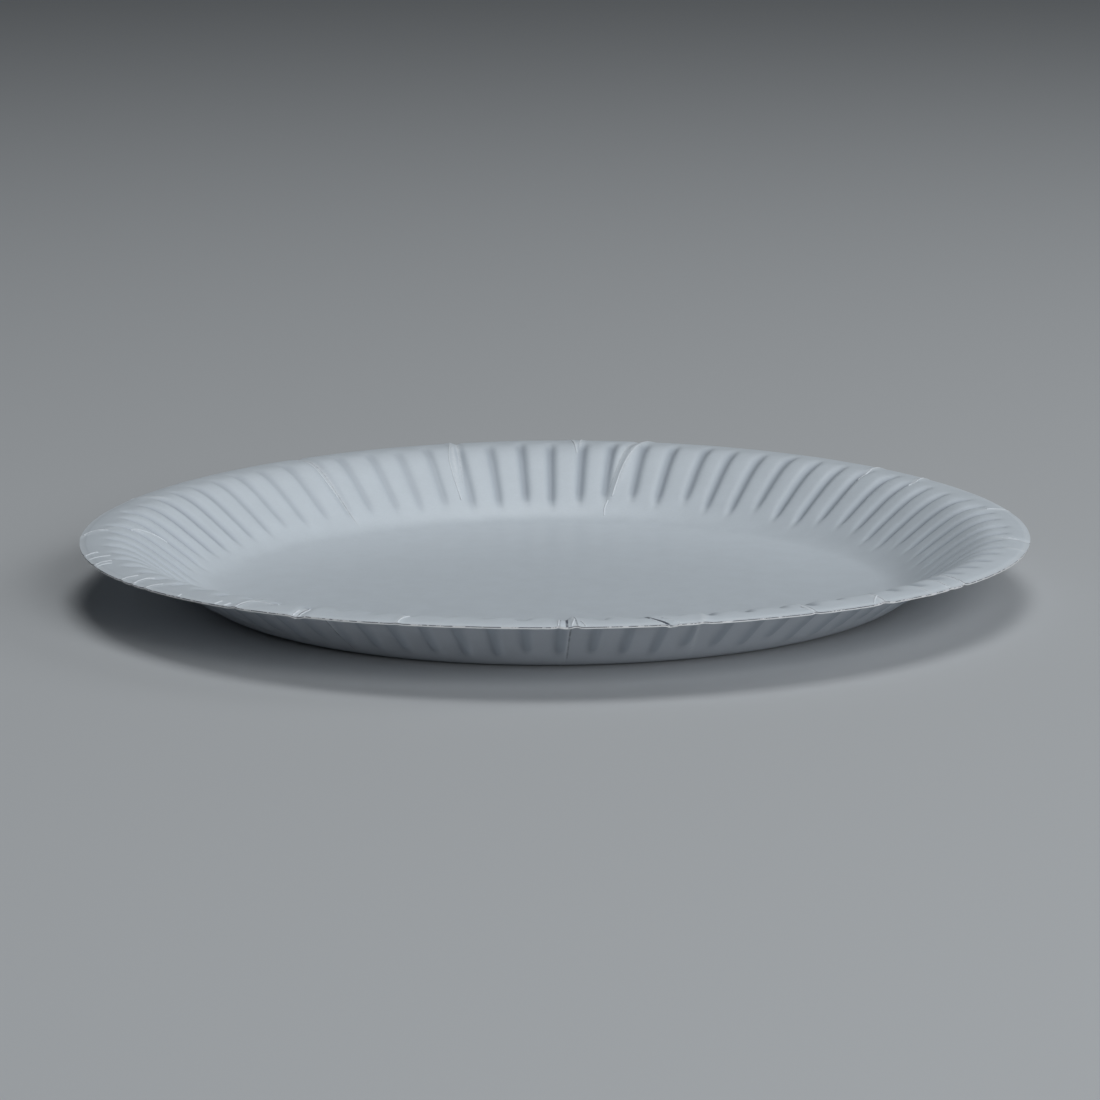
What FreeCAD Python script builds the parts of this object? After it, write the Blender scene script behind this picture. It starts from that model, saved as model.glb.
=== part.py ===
import FreeCAD, Part
import math
import os

# Round paper plate pressed from one blank of paperboard.
# Millimetres and degrees. +Z is up, and the origin is the middle of the underside of the floor.
# Angles go round from +X towards +Y, seen from above.

plate_diameter = 230.0
sheet_thickness = 0.45

# The section, from the flat floor outwards: a bend pressed in two steps, a wall that leans less and
# less towards its crown, and a nearly flat flange. Heights are those of the upper face.
floor_radius = 79.8
bend_radius = 12.0
bend_turn = 23.6
foot_slope = 34.0
crown_slope = 15.0
crown_radius = 109.6
crown_height = 16.1
edge_height = 15.5
# How far the wall keeps its slope from its foot and from its crown, as shares of its width
foot_reach = 0.26
crown_reach = 0.34

# The rim isn't level: it is lower at the two sides than at the front and the back
rim_twist = -0.93
rim_twist_power = 4

# Flutes are narrow radial valleys with broad ribs between them, deepest half way up the wall
flute_count = 80
flute_depth = 0.83
first_valley = 0.6
rib_share = 0.46

# Gathers are where the blank folded over itself as it was pressed, as ridges or grooves that run
# in from the rim. Each has its angle at the rim, the turn it makes by its inner end, its inner
# radius, its height, or depth where it is negative, and its half width in degrees.
gathers = [
    {"angle": 33.8, "lean": -3.0, "inner": 103.0, "height": 0.35, "half_width": 1.2},
    {"angle": 42.4, "lean": -2.8, "inner": 96.0, "height": 0.45, "half_width": 1.3},
    {"angle": 77.2, "lean": 3.5, "inner": 87.0, "height": 0.75, "half_width": 1.6},
    {"angle": 87.8, "lean": -1.3, "inner": 101.0, "height": 0.45, "half_width": 1.2},
    {"angle": 104.2, "lean": 1.9, "inner": 88.0, "height": 0.55, "half_width": 1.2},
    {"angle": 126.2, "lean": 0.0, "inner": 82.0, "height": -0.6, "half_width": 1.4},
    {"angle": 181.8, "lean": -9.5, "inner": 96.0, "height": 0.4, "half_width": 1.3},
    {"angle": 199.4, "lean": 0.2, "inner": 106.0, "height": 0.45, "half_width": 1.2},
    {"angle": 215.3, "lean": 1.0, "inner": 106.0, "height": 0.45, "half_width": 1.2},
    {"angle": 231.3, "lean": 1.0, "inner": 100.0, "height": 0.55, "half_width": 1.3},
    {"angle": 240.1, "lean": -2.3, "inner": 82.0, "height": -0.6, "half_width": 1.5},
    {"angle": 252.3, "lean": 0.0, "inner": 106.0, "height": 0.4, "half_width": 1.2},
    {"angle": 272.3, "lean": -1.0, "inner": 82.0, "height": 0.5, "half_width": 1.2},
    {"angle": 282.8, "lean": -2.5, "inner": 96.0, "height": -0.7, "half_width": 1.3},
    {"angle": 300.2, "lean": 0.0, "inner": 104.0, "height": 0.4, "half_width": 1.2},
    {"angle": 310.0, "lean": 2.0, "inner": 98.0, "height": 0.5, "half_width": 1.4},
    {"angle": 352.0, "lean": 1.5, "inner": 104.0, "height": -0.4, "half_width": 1.3},
]
gather_fade_start = 0.6

plate_radius = plate_diameter / 2
# Half way up, the wall's curve moves by this share of what its two middle control points move by
cubic_share = 0.75


def bend_point(share):
    """A point of the upper face a share of the way round the bend."""
    turned = math.radians(bend_turn * share)
    radius = floor_radius + bend_radius * math.sin(turned)
    return (radius, sheet_thickness + bend_radius * (1 - math.cos(turned)))


def section_controls():
    """Control points of the upper face's section, as (radius, height) pairs from the floor out."""
    foot_radius, foot_height = bend_point(1.0)
    width = crown_radius - foot_radius
    low = foot_reach * width
    high = crown_reach * width
    return {
        "floor_end": bend_point(0.0),
        "bend_middle": bend_point(0.5),
        "foot": (foot_radius, foot_height),
        "wall_low": (foot_radius + low, foot_height + low * math.tan(math.radians(foot_slope))),
        "wall_high": (crown_radius - high, crown_height - high * math.tan(math.radians(crown_slope))),
        "crown": (crown_radius, crown_height),
        "rim": (plate_radius, edge_height),
    }


def flute_offset(angle):
    """How far a flute lifts the sheet at an angle: zero on average, lowest in its valley."""
    place = (angle - first_valley) * flute_count / 360 % 1
    flank = (1 - rib_share) / 2
    rise = min(1.0, place / flank, (1 - place) / flank)
    average = rib_share + flank
    return flute_depth / cubic_share * (rise - average)


def gather_offset(radius, angle):
    """How far the gathers lift the sheet at a point."""
    total = 0.0
    for gather in gathers:
        along = (plate_radius - radius) / (plate_radius - gather["inner"])
        if along > 1:
            continue
        centre = gather["angle"] + gather["lean"] * along
        off = (angle - centre + 180) % 360 - 180
        across = max(0.0, 1 - abs(off) / gather["half_width"])
        fade = min(1.0, (1 - along) / (1 - gather_fade_start))
        total += gather["height"] * across * fade
    return total


def twist_offset(radius, angle):
    """How far the uneven rim lifts the sheet at a point."""
    reach = (radius / plate_radius) ** rim_twist_power
    return rim_twist * reach * math.cos(math.radians(2 * angle))


def upper_section(angle):
    """The section at one angle with its flute, its gathers and the uneven rim."""
    shaped = []
    for name, (radius, height) in section_controls().items():
        if name in ("wall_low", "wall_high"):
            height += flute_offset(angle)
        if name in ("wall_low", "wall_high", "crown", "rim"):
            height += gather_offset(radius, angle)
            height += twist_offset(radius, angle)
        shaped.append((radius, height))
    return shaped


def lower_section(angle):
    """The same section one sheet thickness below, measured square to its legs."""
    upper = upper_section(angle)
    slopes = []
    for (near, low), (far, high) in zip(upper, upper[1:]):
        slopes.append(math.atan2(high - low, far - near))
    before = [0.0] + slopes
    after = slopes + slopes[-1:]
    shifted = []
    for (radius, height), first, second in zip(upper, before, after):
        middle = (first + second) / 2
        depth = sheet_thickness / math.cos((second - first) / 2)
        shifted.append((radius + depth * math.sin(middle), height - depth * math.cos(middle)))
    # The cut edge stands straight up and down at the plate's full radius
    shifted[-1] = (plate_radius, upper[-1][1] - sheet_thickness)
    return shifted


def placed(section, angle):
    """A section's control points as points in space."""
    turn = math.radians(angle)
    points = []
    for radius, height in section:
        points.append(FreeCAD.Vector(radius * math.cos(turn), radius * math.sin(turn), height))
    return points


def fold_line(points):
    """The bend's two steps, the wall and the flange along one fold, end to end."""
    floor_end, bend_middle, foot, wall_low, wall_high, crown, rim = points
    wall = Part.BezierCurve()
    wall.setPoles([foot, wall_low, wall_high, crown])
    return [
        Part.makeLine(floor_end, bend_middle),
        Part.makeLine(bend_middle, foot),
        wall.toShape(),
        Part.makeLine(crown, rim),
    ]


def fold_angles():
    """Three folds to a flute: its valley and the two sides of the rib after it."""
    pitch = 360 / flute_count
    flank = pitch * (1 - rib_share) / 2
    angles = []
    for flute in range(flute_count):
        valley = first_valley + flute * pitch
        angles.append(valley)
        angles.append(valley + flank)
        angles.append(valley + pitch - flank)
    return angles


def pairs(items):
    """Each item with the next one round the plate."""
    return zip(items, items[1:] + items[:1])


def sheet_faces(sections):
    """One side of the sheet: its flat floor, and ruled panels from each fold to the next."""
    floor_ring = [points[0] for points in sections]
    faces = [Part.Face(Part.makePolygon(floor_ring + floor_ring[:1]))]
    lines = [fold_line(points) for points in sections]
    for here, following in pairs(lines):
        for first, second in zip(here, following):
            faces.append(Part.makeRuledSurface(first, second))
    return faces


def cut_edge(upper, lower):
    """The raw edge of the board round the rim."""
    faces = []
    for (above, next_above), (below, next_below) in zip(pairs(upper), pairs(lower)):
        over = Part.makeLine(above[-1], next_above[-1])
        under = Part.makeLine(below[-1], next_below[-1])
        faces.append(Part.makeRuledSurface(over, under))
    return faces


def build_plate():
    angles = fold_angles()
    upper = [placed(upper_section(angle), angle) for angle in angles]
    lower = [placed(lower_section(angle), angle) for angle in angles]
    shell = Part.makeShell(sheet_faces(upper) + sheet_faces(lower) + cut_edge(upper, lower))
    shell.sewShape()
    plate = Part.makeSolid(shell.Shells[0])
    if plate.Volume < 0:
        plate.reverse()
    return plate


os.makedirs("parts", exist_ok=True)
plate = build_plate()
box = plate.BoundBox
print("valid", plate.isValid(), "faces", len(plate.Faces), "volume", round(plate.Volume))
print("across", round(box.XLength, 2), round(box.YLength, 2))
print("from", round(box.ZMin, 3), "to", round(box.ZMax, 2))
plate.exportStep("parts/plate.step")
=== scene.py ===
import bpy
import math
from mathutils import Matrix, Vector


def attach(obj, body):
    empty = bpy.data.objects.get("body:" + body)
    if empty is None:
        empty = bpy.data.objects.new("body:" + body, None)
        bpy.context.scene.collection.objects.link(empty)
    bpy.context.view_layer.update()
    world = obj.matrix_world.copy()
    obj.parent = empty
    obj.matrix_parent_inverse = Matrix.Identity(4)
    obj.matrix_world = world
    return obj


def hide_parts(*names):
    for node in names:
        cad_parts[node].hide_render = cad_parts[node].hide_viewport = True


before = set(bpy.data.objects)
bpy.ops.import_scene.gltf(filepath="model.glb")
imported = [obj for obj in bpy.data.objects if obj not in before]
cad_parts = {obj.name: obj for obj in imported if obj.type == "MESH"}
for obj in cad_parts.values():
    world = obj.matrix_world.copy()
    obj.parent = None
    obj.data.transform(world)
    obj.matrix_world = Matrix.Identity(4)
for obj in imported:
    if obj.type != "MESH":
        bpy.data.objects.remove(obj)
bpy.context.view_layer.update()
print("frame loaded")


# A node socket that adds, multiplies and so on like a number. Each sum makes its Math node
class Wire:
    def __init__(self, bench, socket):
        self.bench = bench
        self.socket = socket

    def __add__(self, other):
        return self.bench.math("ADD", self, other)

    def __radd__(self, other):
        return self.bench.math("ADD", other, self)

    def __sub__(self, other):
        return self.bench.math("SUBTRACT", self, other)

    def __rsub__(self, other):
        return self.bench.math("SUBTRACT", other, self)

    def __mul__(self, other):
        return self.bench.math("MULTIPLY", self, other)

    def __rmul__(self, other):
        return self.bench.math("MULTIPLY", other, self)

    def __truediv__(self, other):
        return self.bench.math("DIVIDE", self, other)

    def __pow__(self, other):
        return self.bench.math("POWER", self, other)

    def __abs__(self):
        return self.bench.math("ABSOLUTE", self)


# A tree to put nodes in, for geometry and for shaders alike
class Bench:
    def __init__(self, tree):
        self.tree = tree

    def node(self, kind, settings=None, inputs=None, give=0):
        made = self.tree.nodes.new(kind)
        for name, value in (settings or {}).items():
            if name in ("points", "corners"):
                drawCurve(made.mapping, value, name == "points")
            else:
                setattr(made, name, value)
        for name, value in (inputs or {}).items():
            for part in (value if isinstance(value, list) else [value]):
                if isinstance(part, Wire):
                    self.tree.links.new(part.socket, made.inputs[name])
                else:
                    made.inputs[name].default_value = part
        if isinstance(give, (list, tuple)):
            return [Wire(self, made.outputs[name]) for name in give]
        return Wire(self, made.outputs[give])

    def math(self, operation, *values):
        return self.node("ShaderNodeMath", {"operation": operation}, dict(enumerate(values)))

    def least(self, one, other):
        return self.math("MINIMUM", one, other)

    def most(self, one, other):
        return self.math("MAXIMUM", one, other)

    def smooth(self, value, low, high):    # 0 at low, 1 at high, soft between
        settings = {"interpolation_type": "SMOOTHSTEP"}
        return self.node("ShaderNodeMapRange", settings, {0: value, 1: low, 2: high})

    def curve(self, value, points, kind="points"):
        return self.node("ShaderNodeFloatCurve", {kind: points}, {"Value": value})

    def join(self, x, y, z):
        return self.node("ShaderNodeCombineXYZ", None, {"X": x, "Y": y, "Z": z})

    def scaled(self, vector, size):
        return self.node("ShaderNodeVectorMath", {"operation": "SCALE"}, {0: vector, "Scale": size})

    def added(self, one, other):
        return self.node("ShaderNodeVectorMath", {"operation": "ADD"}, {0: one, 1: other})

    def noise(self, vector, scale, detail=2.0, roughness=0.5):
        inputs = {"Vector": vector, "Scale": scale, "Detail": detail, "Roughness": roughness}
        return self.node("ShaderNodeTexNoise", None, inputs, "Fac")

    def random(self, number, seed):    # from 0 to 1, one for each whole number
        return self.node("ShaderNodeTexWhiteNoise", {"noise_dimensions": "2D"},
                         {"Vector": self.join(number, seed, 0.0)}, "Value")

    def mixColour(self, share, one, other):
        return self.node("ShaderNodeMix", {"data_type": "RGBA"}, {0: share, 6: one, 7: other}, 2)

    def mark(self, geometry, name, value, where=True):
        settings = {"data_type": "FLOAT", "domain": "POINT"}
        inputs = {"Geometry": geometry, "Selection": where, "Name": name, "Value": value}
        return self.node("GeometryNodeStoreNamedAttribute", settings, inputs)

    def marked(self, name):
        return self.node("ShaderNodeAttribute", {"attribute_name": name}, None, "Fac")

    def socket(self, name, kind):
        return self.tree.interface.new_socket(name, in_out="INPUT", socket_type=kind)


def drawCurve(mapping, points, soft):
    line = mapping.curves[0]
    line.points[0].location = points[0]
    line.points[1].location = points[-1]
    for x, y in points[1:-1]:
        line.points.new(x, y)
    for point in line.points:
        point.handle_type = "AUTO_CLAMPED" if soft else "VECTOR"
    mapping.update()


# The creases that the pressing left. Angles are in degrees, from the right of the photo's view and
# round by its far side. Each is (angle, lean, inner, height, width, notch, gap): it runs in from
# the rim to its inner radius and turns by its lean on the way, lifts the sheet or sinks it over
# its half width in degrees, and takes a notch off the rim's edge. Gap is how dark and how wide the
# painted shadow line of the split beside it is. Lengths are in millimetres.
creases = [
    (11.6, -0.6, 105.0, 0.16, 0.9, 0.1, 0.2),
    (33.8, -3.0, 103.0, 0.2, 1.0, 0.1, 0.0),
    (42.4, -2.8, 96.0, 0.2, 1.1, 0.1, 0.0),
    (77.2, 3.5, 87.0, 0.3, 1.0, 0.15, 0.0),
    (78.5, 3.2, 87.0, -0.4, 0.9, 0.0, 0.2),
    (86.4, 0.0, 104.0, 0.18, 0.8, 0.1, 0.2),
    (87.8, -1.3, 101.0, 0.22, 0.9, 0.15, 0.3),
    (103.2, 2.0, 90.0, -0.35, 0.9, 0.1, 0.15),
    (104.2, 1.9, 88.0, 0.25, 0.9, 0.1, 0.0),
    (126.2, 0.0, 82.0, -0.45, 1.3, 0.2, 0.4),
    (158.0, -1.0, 104.0, 0.2, 1.1, 0.1, 0.0),
    (181.8, -9.5, 96.0, 0.18, 1.0, 0.05, 0.0),
    (193.5, 0.0, 110.0, 0.12, 0.8, 0.05, 0.25),
    (199.4, 0.2, 106.0, 0.15, 0.8, 0.1, 0.35),
    (209.3, 0.4, 108.0, 0.12, 0.9, 0.05, 0.25),
    (212.2, -0.6, 107.0, 0.12, 0.8, 0.05, 0.25),
    (215.3, 1.0, 106.0, 0.14, 0.9, 0.05, 0.3),
    (231.3, 1.0, 102.0, 0.2, 1.0, 0.25, 0.5),
    (240.1, -2.3, 82.0, -0.4, 1.3, 0.3, 0.7),
    (252.3, 0.0, 106.0, 0.13, 0.8, 0.05, 0.25),
    (270.3, 0.2, 107.0, 0.13, 0.6, 0.2, 0.6),
    (271.3, 0.0, 107.0, -0.14, 0.5, 0.3, 1.2),
    (272.3, -1.0, 82.0, 0.25, 0.8, 0.2, 0.7),
    (282.9, -3.2, 103.0, -0.45, 0.9, 0.6, 2.2),
    (286.5, 4.7, 82.0, 0.2, 1.0, 0.0, 0.0),
    (300.2, 0.0, 104.0, 0.18, 0.8, 0.25, 0.6),
    (310.0, 2.0, 98.0, 0.28, 1.5, 0.4, 0.5),
    (318.0, 1.0, 108.0, -0.12, 1.2, 0.2, 0.3),
    (321.6, 1.5, 106.0, 0.18, 0.9, 0.15, 0.4),
    (324.6, 2.0, 104.0, 0.26, 1.0, 0.4, 0.7),
    (346.4, 0.4, 108.0, 0.1, 1.0, 0.05, 0.2),
    (352.0, 1.5, 104.0, -0.25, 1.2, 0.2, 0.35),
]

# Where the board doubled over itself, a hard thin edge stands up along the crease. Each has its
# share of the common width, and a line of angle and radius points, from the rim in.
pinches = {
    "width": 0.42,
    "sink": 0.06,              # how far its middle lies under the face
    "step": 0.35,
    "sides": 6,
    "tip": 0.3,                # share of the width at the inner end
    "dropFrom": 30.0,          # the lines are drawn at this height and dropped on to the face
    "lines": [
        (1.5, [(42.4, 114.3), (41.5, 109.0), (40.6, 103.0)]),
        (1.3, [(34.0, 114.3), (31.6, 108.6), (30.9, 105.0)]),
        (2.2, [(77.2, 113.9), (78.0, 109.4), (78.4, 104.7), (79.3, 100.1), (79.9, 95.7),
               (80.4, 90.4)]),
        (1.3, [(81.0, 89.5), (81.6, 87.5), (81.3, 85.0)]),
        (1.4, [(86.3, 114.2), (86.5, 110.0)]),
        (1.5, [(87.8, 114.3), (87.4, 110.0), (86.7, 103.0)]),
        (2.0, [(104.2, 114.1), (104.8, 109.0), (105.9, 102.6), (106.1, 97.0), (105.8, 90.0)]),
        (1.3, [(126.8, 114.3), (126.7, 109.0), (126.9, 101.0), (126.4, 95.0)]),
        (1.3, [(181.6, 114.2), (179.8, 113.2), (179.4, 111.0), (179.7, 108.5)]),
        (1.2, [(175.8, 104.0), (174.6, 101.1), (173.1, 98.9), (172.3, 96.3)]),
        (1.0, [(193.9, 114.6), (193.5, 113.0), (193.4, 111.5)]),
        (1.2, [(196.2, 114.5), (195.9, 112.0), (196.1, 109.4)]),
        (1.4, [(199.7, 114.5), (199.2, 113.0), (199.5, 110.5)]),
        (1.0, [(200.6, 114.6), (200.2, 112.6), (200.6, 111.0)]),
        (1.0, [(209.2, 114.6), (209.3, 113.0), (209.6, 110.8)]),
        (1.1, [(212.3, 114.6), (211.8, 112.5), (211.6, 108.5)]),
        (1.2, [(215.3, 114.6), (215.3, 113.0), (216.0, 110.8)]),
        (0.9, [(221.8, 114.6), (221.7, 113.4)]),
        (0.9, [(228.1, 114.6), (228.4, 112.6)]),
        (0.9, [(229.6, 114.6), (229.9, 113.0)]),
        (1.4, [(231.4, 114.4), (231.3, 111.5), (231.7, 109.4), (233.2, 108.8), (235.6, 109.2)]),
        (1.0, [(239.4, 114.4), (239.2, 111.0)]),
        (1.1, [(240.2, 114.3), (240.2, 109.6)]),
        (1.0, [(252.4, 114.6), (252.3, 111.0), (252.9, 109.2)]),
        (1.0, [(270.3, 114.5), (270.4, 110.5)]),
        (1.1, [(271.8, 114.4), (272.2, 109.8)]),
        (0.9, [(273.4, 114.6), (272.9, 111.0)]),
        (1.3, [(282.1, 114.2), (281.3, 112.4), (280.9, 110.0)]),
        (1.3, [(283.9, 114.3), (283.0, 112.0), (282.4, 109.5)]),
        (1.3, [(300.0, 114.3), (299.7, 112.0), (299.8, 110.0)]),
        (1.4, [(308.6, 114.3), (309.4, 112.4), (310.8, 110.6)]),
        (1.2, [(321.6, 114.5), (322.3, 111.0)]),
        (1.4, [(324.4, 114.3), (325.0, 112.4), (326.0, 109.8)]),
        (1.0, [(352.8, 112.0), (353.4, 108.8)]),
        (1.4, [(12.0, 114.3), (11.6, 112.4), (11.3, 109.0)]),
    ],
}

plateLook = {
    "inputs": {                        # sizes in millimetres, named as they are in the node tree
        "Plate Radius": 114.95,
        "Sheet Thickness": 0.45,
        "Rim Twist": -0.93,            # the rim is lower at its two sides
        "Flute Depth": 1.0,
        "First Valley": 0.6,           # degrees
        "Seed": 4.0,
    },
    "counts": {"Columns": 1440, "Rows": 31, "Flutes": 80},
    # The section's upper face from 79 mm out, heights above the table
    "sectionStart": 79.0,
    "sectionHeight": 20.0,
    "section": [
        (79.0, 0.45), (80.0, 0.46), (82.5, 0.78), (85.0, 1.75), (87.5, 3.35), (90.0, 5.2),
        (95.0, 9.0), (100.0, 12.65), (103.0, 14.4), (106.0, 15.5), (109.6, 15.95),
        (112.5, 15.8), (115.0, 15.45),
    ],
    # How far out each share of the rows lies, as a share of the radius
    "rowPlaces": [(0.0, 0.0), (0.0323, 0.174), (0.0645, 0.391), (0.129, 0.6925), (0.774, 0.9552),
                  (0.871, 0.9848), (0.903, 0.987), (0.9355, 0.9896), (0.9677, 0.997), (1.0, 1.0)],
    # How deep the flutes are along the wall
    "fluteReach": [(79.0, 0.0), (86.8, 0.0), (89.4, 0.3), (92.4, 1.0), (104.5, 1.0),
                   (108.2, 0.35), (110.2, 0.0), (115.0, 0.0)],
    # Each valley's own depth as a share, its shift as a share of the pitch, and its inner end's slide
    "depthLeast": 0.8,
    "depthSpread": 0.4,
    "valleyShift": 0.1,
    "endSlide": 2.4,
    "valleyReach": 0.9,                # share of the pitch that a valley and its flanks take
    "faintMiddle": 126.0,              # flutes are pressed less round this angle
    "faintCore": 12.0,
    "faintSpread": 38.0,
    "faintShare": 0.5,
    # From the middle of a valley to the middle of a rib
    "fluteShape": [(0.0, 0.0), (0.1, 0.06), (0.3, 0.5), (0.5, 0.84), (0.72, 0.97), (1.0, 1.0)],
    "fluteMean": 0.67,
    "columnCrowding": 0.5,             # spokes stand closer together in the valleys
    "twistPower": 4.0,
    "twistFrom": 79.5,                 # the floor stays flat
    "twistFull": 90.0,
    "rimWave": 0.2,
    "rimFray": 0.12,
    "frayFrom": 112.0,                 # notches and fray move only the sheet's edge
    "frayFull": 114.6,
    "notchWidth": 0.4,                 # half of it, in degrees
    "lipFrom": 113.5,                  # the outermost ring is pressed thinner
    "lipWidth": 0.3,
    "lipDrop": 0.06,
    "mergeDistance": 0.000001,         # metres
}


def polar(bench, place):    # millimetres from the middle and degrees round, of a place in metres
    x, y = bench.node("ShaderNodeSeparateXYZ", None, {0: bench.scaled(place, 1000.0)}, ["X", "Y"])
    radius = bench.math("SQRT", x * x + y * y)
    angle = bench.math("DEGREES", bench.math("ARCTAN2", y, x))
    return radius, angle


def besideCrease(bench, radius, angle, crease):
    # How far a point is to the side of a crease, in degrees, and in along it, 0 at the rim
    middle, lean, inner = crease[:3]
    rim = plateLook["inputs"]["Plate Radius"]
    along = (rim - radius) / (rim - inner)
    return bench.math("WRAP", angle - middle - along * lean, 180.0, -180.0), along


def shapeSheet(bench, given, across, around):
    # The place of each grid point on the plate's upper face, in metres
    look = plateLook
    radius = bench.curve(across + 0.5, look["rowPlaces"], "corners") * given["Plate Radius"]
    flutes = given["Flutes"]
    turned = (around + 0.5) * flutes
    valley = bench.math("FLOOR", turned + 0.5)
    aside = turned - valley
    crowd = look["columnCrowding"]
    aside = aside * (crowd + (1 - crowd) * 2.0 * abs(aside))
    angle = (valley + aside) * 360.0 / flutes + given["First Valley"]
    spoke = bench.math("RADIANS", angle)
    outwards = bench.join(bench.math("COSINE", spoke), bench.math("SINE", spoke), 0.0)

    # The section, drawn as a curve from the floor's edge to the rim
    start = look["sectionStart"]
    span = look["inputs"]["Plate Radius"] - start
    reach = bench.most((radius - start) / span, 0.0)
    section = [((r - start) / span, z / look["sectionHeight"]) for r, z in look["section"]]
    height = bench.curve(reach, section) * look["sectionHeight"]

    # Each valley has its own depth, place and inner end
    number = bench.math("WRAP", valley, flutes, 0.0)
    ownDepth = look["depthLeast"] + look["depthSpread"] * bench.random(number, given["Seed"])
    depth = given["Flute Depth"] * ownDepth
    shift = look["valleyShift"] * (bench.random(number, given["Seed"] + 7.0) - 0.5)
    slide = look["endSlide"] * (bench.random(number, given["Seed"] + 19.0) - 0.5)
    fromValley = bench.least(abs(aside - shift) * 2.0 / look["valleyReach"], 1.0)
    fade = [((r - start) / span, share) for r, share in look["fluteReach"]]
    ownReach = bench.curve(bench.most((radius + slide - start) / span, 0.0), fade)
    fromFaint = abs(bench.math("WRAP", angle - look["faintMiddle"], 180.0, -180.0))
    faint = bench.smooth(fromFaint, look["faintSpread"], look["faintCore"])
    firm = 1.0 - look["faintShare"] * faint
    pressed = (1.0 - bench.curve(fromValley, look["fluteShape"])) * ownReach * firm
    height = height - depth * pressed
    height = height + given["Flute Depth"] * (1.0 - look["fluteMean"]) * bench.curve(reach, fade)

    # The rim is lower at its sides, waves a little, and is pressed thin at its very edge
    share = radius / given["Plate Radius"]
    raised = bench.smooth(radius, look["twistFrom"], look["twistFull"])
    twist = given["Rim Twist"] * share ** look["twistPower"] * raised
    height = height + twist * bench.math("COSINE", spoke * 2.0)
    wave = bench.noise(bench.scaled(outwards, 3.0), 2.3) - 0.5
    height = height + look["rimWave"] * wave * bench.smooth(share, 0.8, 1.0)
    lip = bench.smooth(radius, look["lipFrom"], look["lipFrom"] + look["lipWidth"])
    height = height - look["lipDrop"] * lip

    # Painted highlight: a mask along each crease, where the colour is lightened as if its ridge
    # caught the light
    worn = 0.0
    cutIn = 0.0
    offFloor = bench.smooth(radius, 80.5, 87.0)
    for crease in creases:
        lift, width, notch = crease[3:6]
        off, along = besideCrease(bench, radius, angle, crease)
        ridge = bench.smooth(abs(off), width, 0.0)
        shown = bench.smooth(along, 1.0, 0.55)
        height = height + lift * ridge * shown * offFloor
        worn = bench.most(bench.smooth(abs(off), 0.5 * width, 0.0) * shown * 0.9, worn)
        if notch > 0:
            cutIn = cutIn + notch * bench.smooth(abs(off), look["notchWidth"], 0.0)
    fray = bench.noise(bench.scaled(outwards, 60.0), 1.0, 3.0)
    nearEdge = bench.smooth(radius, look["frayFrom"], look["frayFull"])
    radius = radius - nearEdge * (cutIn + look["rimFray"] * fray)

    place = bench.added(bench.scaled(outwards, radius), bench.join(0.0, 0.0, height))
    return bench.scaled(place, 0.001), worn, pressed


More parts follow.
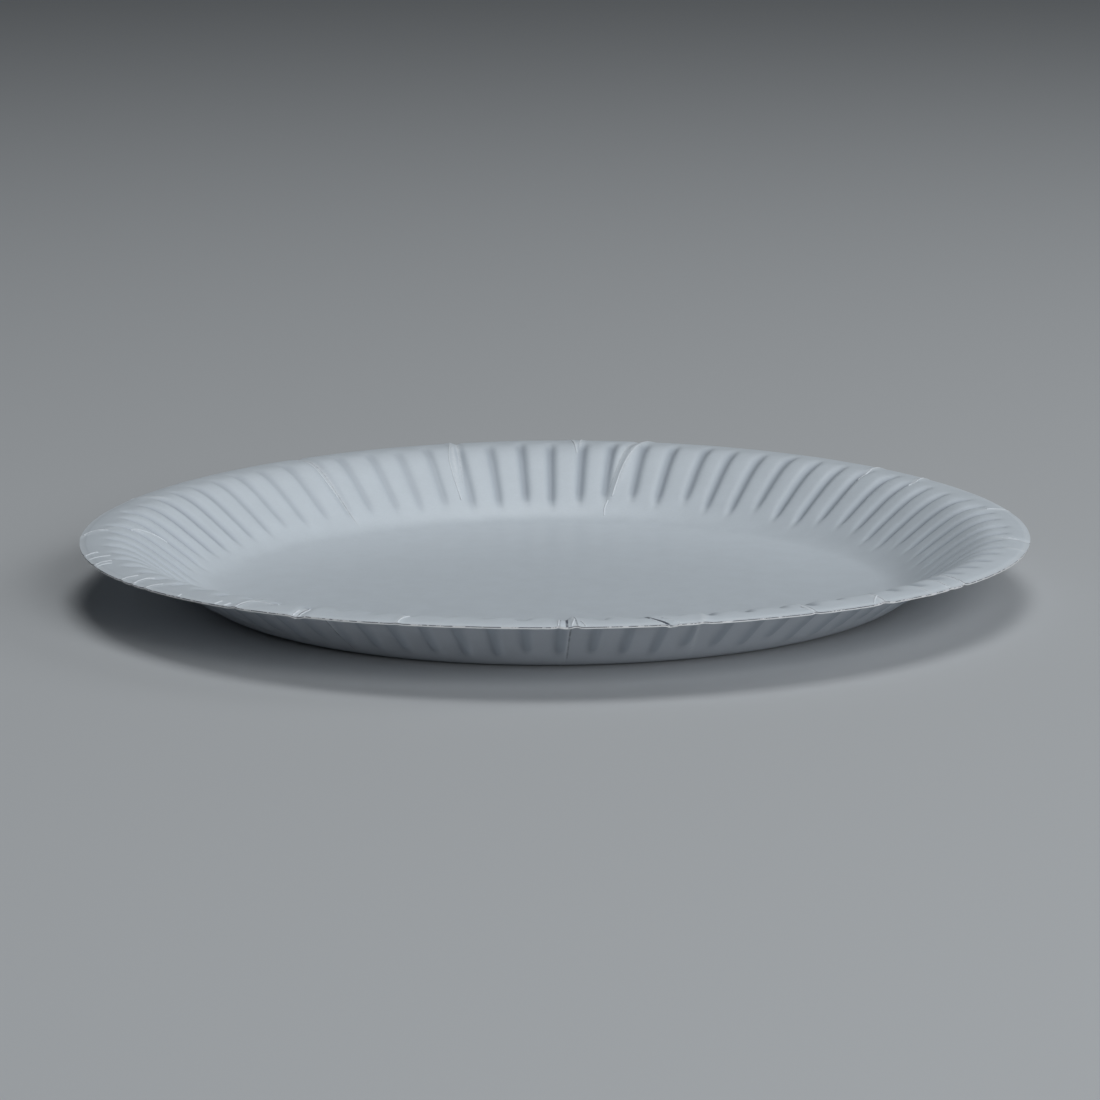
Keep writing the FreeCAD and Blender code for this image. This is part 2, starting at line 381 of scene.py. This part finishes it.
def buildPlateTree():
    look = plateLook
    tree = bpy.data.node_groups.new("fluted plate", "GeometryNodeTree")
    bench = Bench(tree)
    tree.interface.new_socket("Geometry", in_out="OUTPUT", socket_type="NodeSocketGeometry")
    for name in look["inputs"]:
        bench.socket(name, "NodeSocketFloat")
    for name in look["counts"]:
        bench.socket(name, "NodeSocketInt")
    bench.socket("Pinch Lines", "NodeSocketObject")
    for name in ("Face", "Back", "Cut"):
        bench.socket(name, "NodeSocketMaterial")
    names = [item.name for item in tree.interface.items_tree if item.in_out == "INPUT"]
    given = dict(zip(names, bench.node("NodeGroupInput", give=names)))

    # A flat grid, whose rows become rings and whose columns become spokes
    grid = bench.node("GeometryNodeMeshGrid", None,
                      {"Size X": 1.0, "Size Y": 1.0,
                       "Vertices X": given["Rows"] + 1, "Vertices Y": given["Columns"] + 1})
    spot = bench.node("GeometryNodeInputPosition")
    across, around = bench.node("ShaderNodeSeparateXYZ", None, {0: spot}, ["X", "Y"])
    place, worn, pressed = shapeSheet(bench, given, across, around)
    # Masks for the colour: painted highlight along creases and folds, painted shade down the valleys
    grid = bench.mark(bench.mark(grid, "worn", worn), "pressed", pressed)
    shaped = bench.node("GeometryNodeSetPosition", None, {"Geometry": grid, "Position": place})
    joined = {"Geometry": shaped, "Distance": look["mergeDistance"]}
    face = bench.node("GeometryNodeMergeByDistance", None, joined)

    # The back is the face turned over and pushed down by the sheet's thickness
    turned = bench.node("GeometryNodeFlipFaces", None, {"Mesh": face})
    pushed, backPart, edgePart = bench.node(
        "GeometryNodeExtrudeMesh", {"mode": "FACES"},
        {"Mesh": turned, "Offset Scale": given["Sheet Thickness"] * 0.001, "Individual": False},
        ["Mesh", "Top", "Side"])
    pushed = bench.mark(pushed, "depth", 1.0, backPart)
    sheet = bench.node("GeometryNodeJoinGeometry", None, {"Geometry": [face, pushed]})
    joined = {"Geometry": sheet, "Distance": look["mergeDistance"]}
    closed = bench.node("GeometryNodeMergeByDistance", None, joined)
    softened = bench.node("GeometryNodeSetShadeSmooth", None,
                          {"Geometry": closed, "Selection": 1.0 - edgePart})

    # Pinches lie on the face: their lines drop straight down on to it
    lines = bench.node("GeometryNodeObjectInfo", None, {"Object": given["Pinch Lines"]}, "Geometry")
    lines = bench.node("GeometryNodeResampleCurve", {"mode": "LENGTH"},
                       {"Curve": lines, "Length": pinches["step"] * 0.001})
    onFace, landed = bench.node("GeometryNodeRaycast", None,
                                {"Target Geometry": face, "Ray Direction": (0.0, 0.0, -1.0)},
                                ["Is Hit", "Hit Position"])
    lines = bench.node("GeometryNodeDeleteGeometry", {"domain": "POINT"},
                       {"Geometry": lines, "Selection": 1.0 - onFace})
    sunk = bench.node("GeometryNodeInputRadius") * (-0.001 * pinches["sink"])
    landed = bench.added(landed, bench.join(0.0, 0.0, sunk))
    lines = bench.node("GeometryNodeSetPosition", None, {"Geometry": lines, "Position": landed})
    ring = bench.node("GeometryNodeCurvePrimitiveCircle", None,
                      {"Resolution": pinches["sides"], "Radius": pinches["width"] * 0.0005})
    folds = bench.node("GeometryNodeCurveToMesh", None,
                       {"Curve": lines, "Profile Curve": ring, "Fill Caps": True})
    # The folds take the full painted highlight
    folds = bench.mark(bench.node("GeometryNodeSetShadeSmooth", None, {"Geometry": folds}),
                       "worn", 1.0)

    whole = bench.node("GeometryNodeJoinGeometry", None, {"Geometry": [softened, folds]})
    dressed = bench.node("GeometryNodeRealizeInstances", None, {"Geometry": whole})
    for name, part in (("Face", True), ("Back", backPart), ("Cut", edgePart)):
        dressed = bench.node("GeometryNodeSetMaterial", None,
                             {"Geometry": dressed, "Material": given[name], "Selection": part})
    bench.node("NodeGroupOutput", None, {"Geometry": dressed}, [])
    return tree


boardLook = {
    "faceColour": (0.755, 0.81, 0.86),
    "backColour": (0.66, 0.695, 0.745),
    "cutColour": (0.93, 0.935, 0.94),
    "valleyShadeColour": (0.47, 0.515, 0.57),    # painted shade: the valleys are coloured darker, standing in for the shade they lie in
    # painted highlight: the light colour of crease ridges, folds and the lip
    "highlightColour": (0.93, 0.96, 0.99),
    # painted shadow: the near-black colour of the lines beside creases and along the cut edge
    "splitShadowColour": (0.08, 0.095, 0.13),
    "faceRoughness": 0.32,
    "wallRoughness": 0.2,          # added on the wall, because the floor was pressed smoother
    "backRoughness": 0.7,
    "mottle": 0.014,               # how much lighter and darker the board's cloudiness is
    "fibreSize": 0.35,             # millimetres
    "fibreHeight": 0.008,
    "shadowLineShift": 0.32,              # how far a painted shadow line lies beside its ridge
    "shadowLineWidth": 0.12,              # half of the faintest painted shadow line's width
    "shadowLineSpread": 0.26,             # how much wider a darker painted shadow line is
}


def fibres(bench, where):
    # Short fibres that lie every way in the board: three stretched noises, each turned
    total = 0.0
    for turn in (0.2, 1.25, 2.3):
        stretched = bench.node("ShaderNodeMapping", {"vector_type": "TEXTURE"},
                               {"Vector": where, "Rotation": (0.0, 0.0, turn),
                                "Scale": (6.0, 1.0, 1.0)})
        total = total + bench.noise(stretched, 1.0 / boardLook["fibreSize"], 2.0, 0.5)
    return total / 3.0


def creaseShadowLines(bench, where, radius, angle):
    # Painted shadow: a thin dark line beside each crease where its split would lie in shade, broken
    # here and there
    look = boardLook
    creaseShadows = 0.0
    for crease in creases:
        lift, shadowStrength = crease[3], crease[6]
        if shadowStrength > 0:
            off, along = besideCrease(bench, radius, angle, crease)
            shift = look["shadowLineShift"] if lift > 0 else 0.0    # beside a ridge, but down in a groove
            aside = abs(off * radius * math.radians(1.0) - shift)
            half = look["shadowLineWidth"] + look["shadowLineSpread"] * shadowStrength
            line = bench.smooth(aside, half, 0.3 * half) * bench.smooth(along, 0.95, 0.7)
            creaseShadows = bench.most(line * shadowStrength, creaseShadows)
    broken = 0.5 + 0.5 * bench.smooth(bench.noise(where, 0.5, 3.0), 0.38, 0.55)
    return creaseShadows * broken * bench.smooth(radius, 80.0, 83.0)    # none on the floor


def boardFinish(name, kind):
    look = boardLook
    finish = bpy.data.materials.new(name)
    finish.use_nodes = True
    finish.node_tree.nodes.clear()
    bench = Bench(finish.node_tree)
    spot = bench.node("ShaderNodeTexCoord", None, None, "Object")
    where = bench.scaled(spot, 1000.0)
    radius, angle = polar(bench, spot)
    fibre = fibres(bench, where)
    cloud = bench.noise(where, 0.16, 4.0, 0.6)
    worn = bench.marked("worn")

    def mixed(share, tint, wanted):
        return bench.mixColour(share, tint, (*look[wanted], 1.0))

    colour = look[kind + "Colour"]
    dark = tuple(c * (1 - look["mottle"] * 2) for c in colour)
    light = tuple(min(1.0, c * (1 + look["mottle"])) for c in colour)
    tint = bench.mixColour(bench.smooth(cloud * 0.5 + fibre * 0.5, 0.38, 0.62),
                           (*dark, 1.0), (*light, 1.0))
    relief = fibre
    sheen = (look["faceRoughness"] if kind == "face" else look["backRoughness"])
    sheen = sheen + 0.1 * (cloud - 0.5)
    if kind != "cut":
        # Painted shade: the colour darkens down into each flute's valley, by its pressed depth
        tint = mixed(bench.marked("pressed"), tint, "valleyShadeColour")
        rough = bench.smooth(fibre, 0.4, 0.62)
        # Painted highlight along creases and folds, broken by the fibres
        tint = mixed(worn * (0.4 + 0.4 * rough), tint, "highlightColour")
        creaseShadows = creaseShadowLines(bench, where, radius, angle)
        # Painted shadow beside the creases, kept off the folds
        tint = mixed(creaseShadows * (1.0 - bench.smooth(worn, 0.97, 1.0)) * 0.85, tint, "splitShadowColour")
    if kind == "face":
        lipFrom = plateLook["lipFrom"]
        lip = bench.smooth(radius, lipFrom, lipFrom + plateLook["lipWidth"])
        # Painted highlight: a light band along the pressed lip at the rim
        tint = mixed(lip * 0.2, tint, "highlightColour")
        # The floor was pressed flatter and so is smoother than the wall
        wall = bench.smooth(radius, 80.0, 92.0)
        sheen = sheen + look["wallRoughness"] * wall
        relief = relief * (0.04 + 0.96 * wall)
    if kind == "cut":
        # A thin split between the plies under the top one, bumped in and painted dark as its shadow,
        # broken along the rim
        depth = bench.marked("depth")
        broken = bench.smooth(bench.noise(where, 0.4, 4.0, 0.65), 0.4, 0.52)
        splitShadow = bench.smooth(depth, 0.5, 0.42) * bench.smooth(depth, 0.02, 0.08) * broken
        tint = mixed(splitShadow * 0.92, tint, "splitShadowColour")
        relief = relief * 3.0 - splitShadow
    bump = bench.node("ShaderNodeBump", None,
                      {"Strength": 0.6, "Distance": look["fibreHeight"] * 0.001, "Height": relief})
    shader = bench.node("ShaderNodeBsdfPrincipled", None,
                        {"Base Color": tint, "Roughness": sheen, "Normal": bump,
                         "IOR": 1.5, "Sheen Weight": 0.04, "Sheen Roughness": 0.5})
    bench.node("ShaderNodeOutputMaterial", None, {"Surface": shader}, [])
    return finish


def makePinchLines():
    # Curves over the plate, thin at their inner ends, for the tree to drop on to the face
    curve = bpy.data.curves.new("pinch lines", "CURVE")
    curve.dimensions = "3D"
    for size, line in pinches["lines"]:
        spline = curve.splines.new("NURBS")
        spline.points.add(len(line) - 1)
        for number, (angle, radius) in enumerate(line):
            turn = math.radians(angle)
            place = (radius * math.cos(turn) / 1000, radius * math.sin(turn) / 1000,
                     pinches["dropFrom"] / 1000, 1.0)
            spline.points[number].co = place
            spline.points[number].radius = pinches["tip"] if number == len(line) - 1 else size
        spline.order_u = min(3, len(line))
        spline.use_endpoint_u = True
    lines = bpy.data.objects.new("pinch lines", curve)
    bpy.context.collection.objects.link(lines)
    return lines


def makePlate():
    lines = makePinchLines()
    draft = bpy.data.objects.new("plate draft", bpy.data.meshes.new("plate draft"))
    bpy.context.collection.objects.link(draft)
    modifier = draft.modifiers.new("fluted plate", "NODES")
    modifier.node_group = buildPlateTree()
    values = {**plateLook["inputs"], **plateLook["counts"], "Pinch Lines": lines,
              "Face": boardFinish("board face", "face"),
              "Back": boardFinish("board back", "back"),
              "Cut": boardFinish("cut board", "cut")}
    for item in modifier.node_group.interface.items_tree:
        if item.in_out == "INPUT":
            modifier[item.identifier] = values[item.name]
    depsgraph = bpy.context.evaluated_depsgraph_get()
    mesh = bpy.data.meshes.new_from_object(draft.evaluated_get(depsgraph))
    bpy.data.objects.remove(draft)
    bpy.data.objects.remove(lines)
    plate = bpy.data.objects.new("pressedPlate", mesh)
    bpy.context.collection.objects.link(plate)
    triangles = sum(len(face.vertices) - 2 for face in mesh.polygons)
    print("plate made:", triangles, "triangles,", len(mesh.materials), "materials")
    return plate


plate = makePlate()
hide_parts("plate")
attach(plate, "root")


studio = {
    "floorSize": 6.0,
    "floorColour": (0.6, 0.61, 0.62),
    "lights": {
        "key": {"place": (0.8, -1.35, 0.8), "size": 1.0, "power": 13.0},
        "top": {"place": (0.15, 0.1, 1.8), "size": 0.9, "power": 9.5},
        "right": {"place": (1.3, 0.3, 0.75), "size": 0.5, "power": 2.2},
    },
    "lightColour": (0.94, 0.975, 1.0),
    "skyColour": (0.7, 0.78, 0.86),
    "skyStrength": 0.05,
}


def makeStudio():
    size = studio["floorSize"] / 2
    mesh = bpy.data.meshes.new("floor")
    corners = [(-size, -size, 0), (size, -size, 0), (size, size, 0), (-size, size, 0)]
    mesh.from_pydata(corners, [], [(0, 1, 2, 3)])
    floor = bpy.data.objects.new("floor", mesh)
    bpy.context.collection.objects.link(floor)
    finish = bpy.data.materials.new("floor")
    finish.use_nodes = True
    shader = finish.node_tree.nodes["Principled BSDF"]
    shader.inputs["Base Color"].default_value = (*studio["floorColour"], 1.0)
    shader.inputs["Roughness"].default_value = 0.9
    mesh.materials.append(finish)
    for name, light in studio["lights"].items():
        data = bpy.data.lights.new(name, "AREA")
        data.size = light["size"]
        data.energy = light["power"]
        data.color = studio["lightColour"]
        lamp = bpy.data.objects.new(name, data)
        lamp.location = light["place"]
        lamp.rotation_euler = Vector(light["place"]).to_track_quat("Z", "Y").to_euler()
        bpy.context.collection.objects.link(lamp)
    world = bpy.data.worlds.new("studio")
    world.use_nodes = True
    sky = world.node_tree.nodes["Background"]
    sky.inputs["Color"].default_value = (*studio["skyColour"], 1.0)
    sky.inputs["Strength"].default_value = studio["skyStrength"]
    bpy.context.scene.world = world
    bpy.context.scene.view_settings.view_transform = "Standard"
    print("studio lit")


cameraLook = {
    "distance": 1.0965,
    "elevation": 12.1,
    "roll": 0.26,                 # the right side of the picture is a little higher
    "lens": 147.3,
    "aimUp": 0.00975,             # the plate sits a little below the middle of the picture
    "aimRight": -0.0012,
}


def makeCamera():
    look = cameraLook
    rise = math.radians(look["elevation"])
    back = Vector((0.0, -math.cos(rise), math.sin(rise)))
    up = Vector((0.0, math.sin(rise), math.cos(rise)))
    place = back * look["distance"]
    aim = up * look["aimUp"] + Vector((look["aimRight"], 0.0, 0.0))
    back = (place - aim).normalized()
    right = up.cross(back).normalized()
    up = back.cross(right)
    roll = math.radians(look["roll"])
    tiltedUp = up * math.cos(roll) + right * math.sin(roll)
    tiltedRight = right * math.cos(roll) - up * math.sin(roll)
    data = bpy.data.cameras.new("camera")
    data.lens = look["lens"]
    data.sensor_width = 36.0
    camera = bpy.data.objects.new("camera", data)
    turn = Matrix((tiltedRight, tiltedUp, back)).transposed().to_4x4()
    camera.matrix_world = Matrix.Translation(place) @ turn
    bpy.context.collection.objects.link(camera)
    bpy.context.scene.camera = camera
    print("camera set")


makeStudio()
makeCamera()
